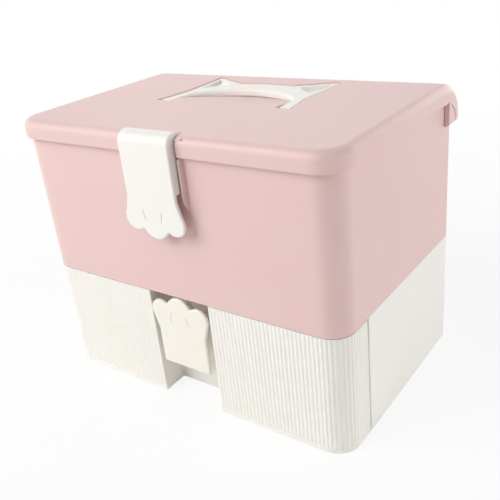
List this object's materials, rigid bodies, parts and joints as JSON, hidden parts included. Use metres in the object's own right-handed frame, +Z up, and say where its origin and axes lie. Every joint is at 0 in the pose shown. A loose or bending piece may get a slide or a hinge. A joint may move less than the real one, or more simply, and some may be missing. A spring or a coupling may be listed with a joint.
{
  "type": "makeup storage case with handle",
  "caption": "Rectangular plastic vanity case: ribbed front drawer below, trunk above, hinged lid with flat cat-ear carry handle, paw-shaped latch and lift-up trays.",
  "frame": {"origin": "on the ground under the middle of the body", "axes": "+X to the right seen from the front, +Y to the back, +Z up"},
  "size_m": [0.329, 0.2298, 0.2572],
  "materials": {
    "pink": "moulded polypropylene, fine satin texture",
    "white": "moulded polypropylene, fine satin texture",
    "cream": "moulded polypropylene, smooth satin",
    "tray": "moulded polypropylene, translucent white",
    "steel": "zinc-plated steel"
  },
  "bodies": {
    "case": {"lower_housing": "white", "upper_case": "pink", "case_screws": "steel", "hinge_pins": "steel", "arm_pins": "white"},
    "lid": {"lid": "pink", "latch_pin": "steel", "handle_pins": "steel", "lid_link_right": "white", "lid_link_left": "white", "link_screws": "steel"},
    "latch": {"latch": "white"},
    "handle": {"handle": "white"},
    "drawer": {"drawer_front": "white", "drawer_box": "white", "drawer_pull": "cream", "pull_screws": "steel"},
    "upper_tray": {"upper_tray": "tray", "upper_tray_pins": "white"},
    "lower_tray": {"lower_tray": "tray", "lower_tray_pins": "white"},
    "front_arm_right": {"front_arm_right": "white"},
    "front_arm_left": {"front_arm_left": "white"}
  },
  "joints": [
    {"name": "lid_hinge", "type": "hinge", "parent": "case", "child": "lid", "pos_m": [0, 0.1104, 0.224], "axis": [-1, 0, 0], "range_deg": [0, 95]},
    {"name": "latch_pivot", "type": "hinge", "parent": "lid", "child": "latch", "pos_m": [0, -0.1035, 0.2504], "axis": [-1, 0, 0], "range_deg": [-2, 60]},
    {"name": "handle_pivot", "type": "hinge", "parent": "lid", "child": "handle", "pos_m": [0, -0.01, 0.2507], "axis": [1, 0, 0], "range_deg": [0, 90]},
    {"name": "drawer_slide", "type": "slide", "parent": "case", "child": "drawer", "axis": [0, -1, 0], "range_m": [0, 0.14]},
    {"name": "upper_tray_pivot", "type": "hinge", "parent": "lid", "child": "upper_tray", "pos_m": [0, 0.0144, 0.224], "axis": [-1, 0, 0], "range_deg": [-95, 0]},
    {"name": "lower_tray_pivot", "type": "hinge", "parent": "lid", "child": "lower_tray", "pos_m": [0, 0.0624, 0.224], "axis": [-1, 0, 0], "range_deg": [-95, 0]},
    {"name": "front_arm_right_pivot", "type": "hinge", "parent": "case", "child": "front_arm_right", "pos_m": [0.1524, 0.016, 0.212], "axis": [-1, 0, 0], "range_deg": [0, 95]},
    {"name": "front_arm_left_pivot", "type": "hinge", "parent": "case", "child": "front_arm_left", "pos_m": [-0.1524, 0.016, 0.212], "axis": [-1, 0, 0], "range_deg": [0, 95]}
  ],
  "couplings": [
    {"joint": "upper_tray_pivot", "follows": "lid_hinge", "ratio": -1},
    {"joint": "lower_tray_pivot", "follows": "lid_hinge", "ratio": -1},
    {"joint": "front_arm_right_pivot", "follows": "lid_hinge", "ratio": 1},
    {"joint": "front_arm_left_pivot", "follows": "lid_hinge", "ratio": 1}
  ]
}
